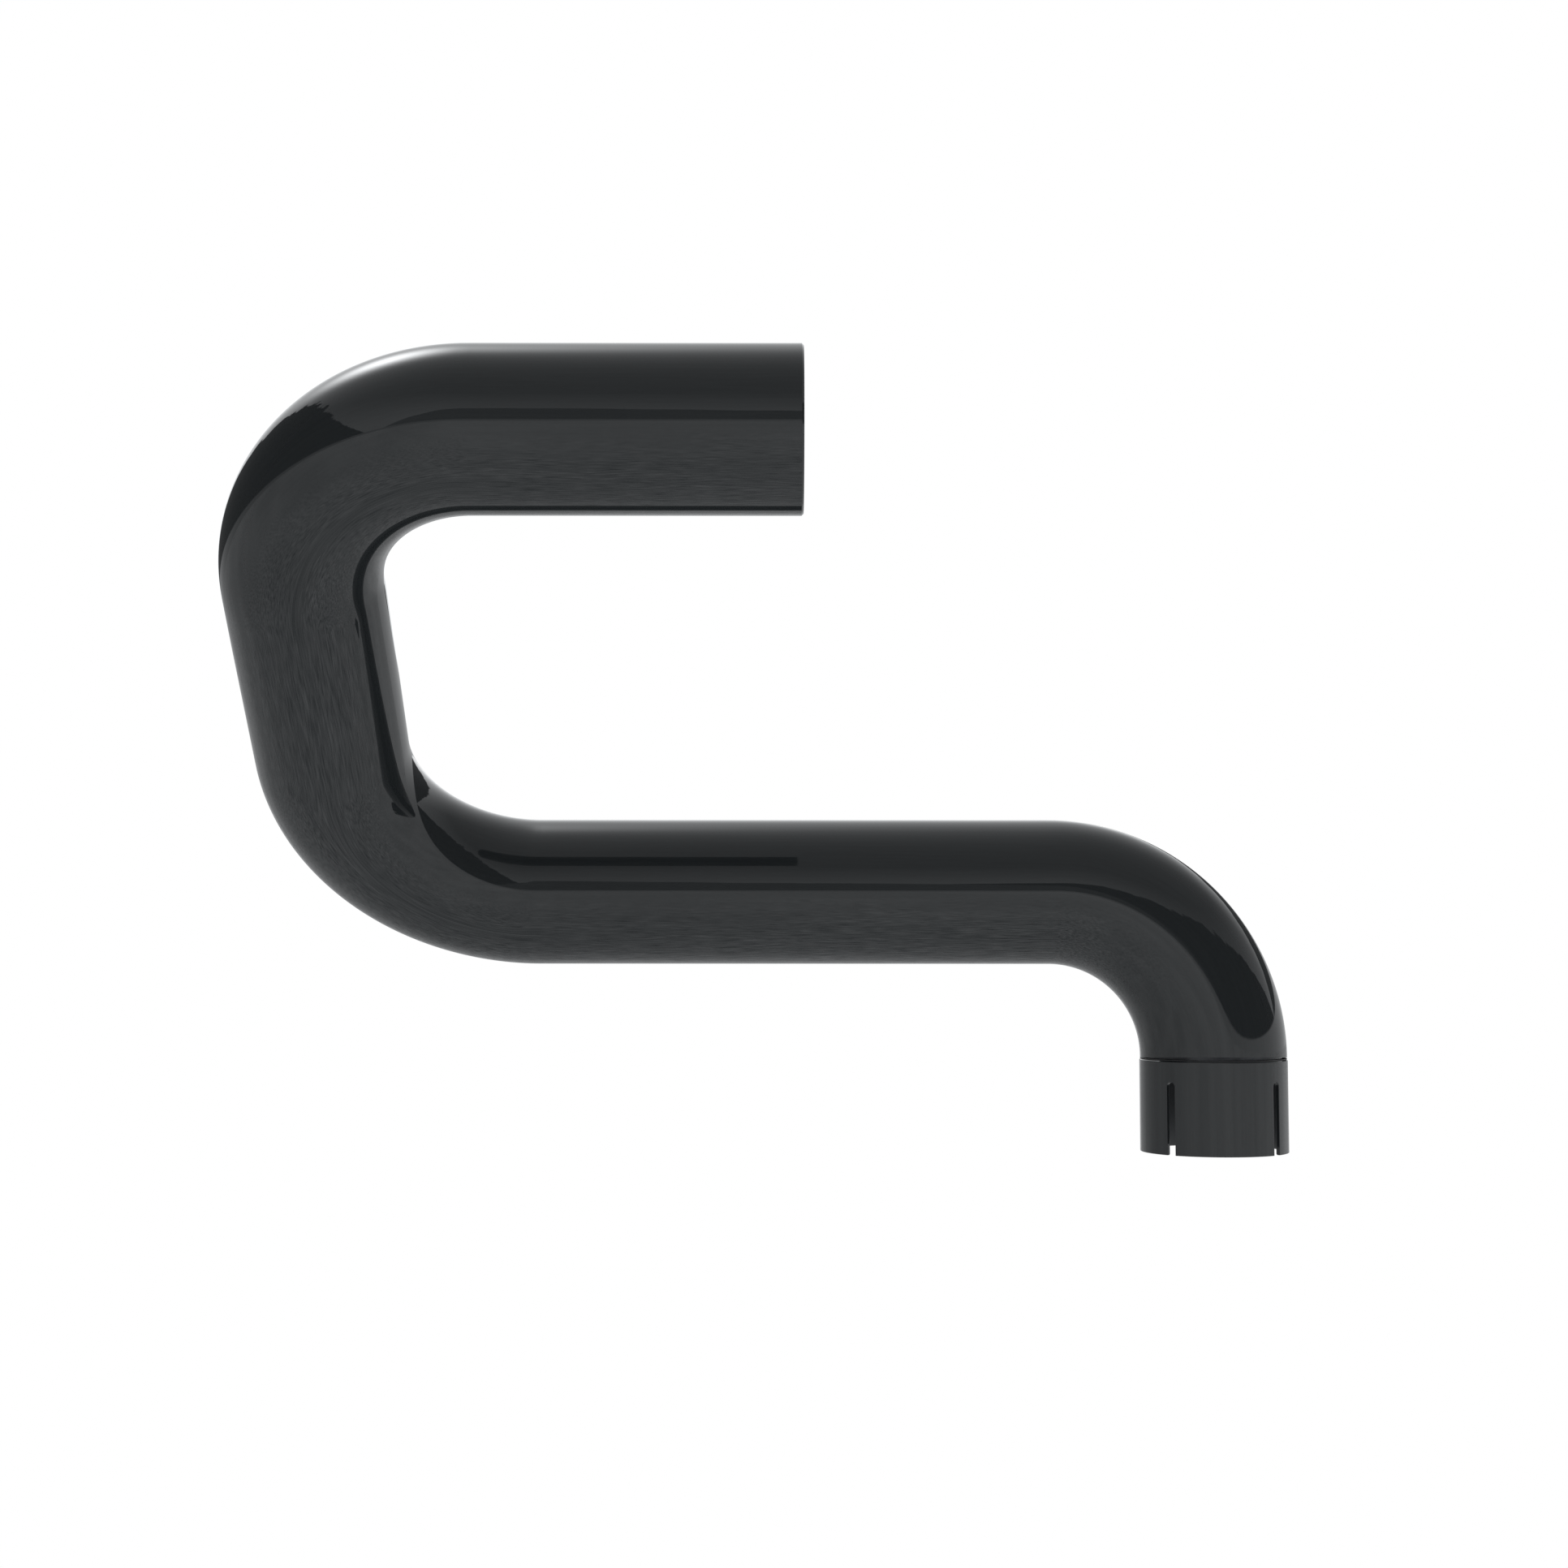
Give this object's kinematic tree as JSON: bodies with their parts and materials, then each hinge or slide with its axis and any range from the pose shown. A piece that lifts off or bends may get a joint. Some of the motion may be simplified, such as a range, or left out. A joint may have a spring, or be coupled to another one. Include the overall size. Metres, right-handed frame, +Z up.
{
  "type": "waste trap",
  "caption": "Black metal waste trap: a plain inlet leg, a leaning U, a long arm and an elbow that ends in a slotted swivel socket.",
  "frame": {"origin": "centre of the slotted socket's rim, on the socket's axis", "axes": "+Z up along the socket's axis into the trap, +X along the trap arm towards the outlet elbow, -Y the side that the U leans towards"},
  "size_m": [0.2929, 0.1566, 0.2071],
  "materials": {
    "black_enamel": "gloss black baked enamel over finely brushed steel",
    "black_oxide_steel": "turned and black oxided",
    "spring_steel": "rolled",
    "braze_alloy": "as brazed",
    "seal_rubber": "moulded",
    "washer_plastic": "low-friction sheet"
  },
  "bodies": {
    "trap_tube": {"inlet_leg": "black_enamel", "upper_bend": "black_enamel", "riser": "black_enamel", "lower_bend": "black_enamel", "trap_arm": "black_enamel", "outlet_elbow": "black_enamel", "weld_1_inlet_leg": "black_enamel", "weld_2_upper_bend": "black_enamel", "weld_3_riser": "black_enamel", "weld_4_lower_bend": "black_enamel", "weld_5_trap_arm": "black_enamel", "swivel_spigot": "black_oxide_steel", "spigot_braze_ring": "braze_alloy", "spigot_o_ring": "seal_rubber", "retaining_ring": "spring_steel", "swivel_washer": "washer_plastic"},
    "socket": {"slotted_collar": "black_enamel", "seat_gasket": "seal_rubber"}
  },
  "joints": [
    {"name": "socket_swivel", "type": "hinge", "parent": "trap_tube", "child": "socket", "pos_m": [0, 0, 0.02675], "axis": [0, 0, 1], "continuous": true}
  ]
}
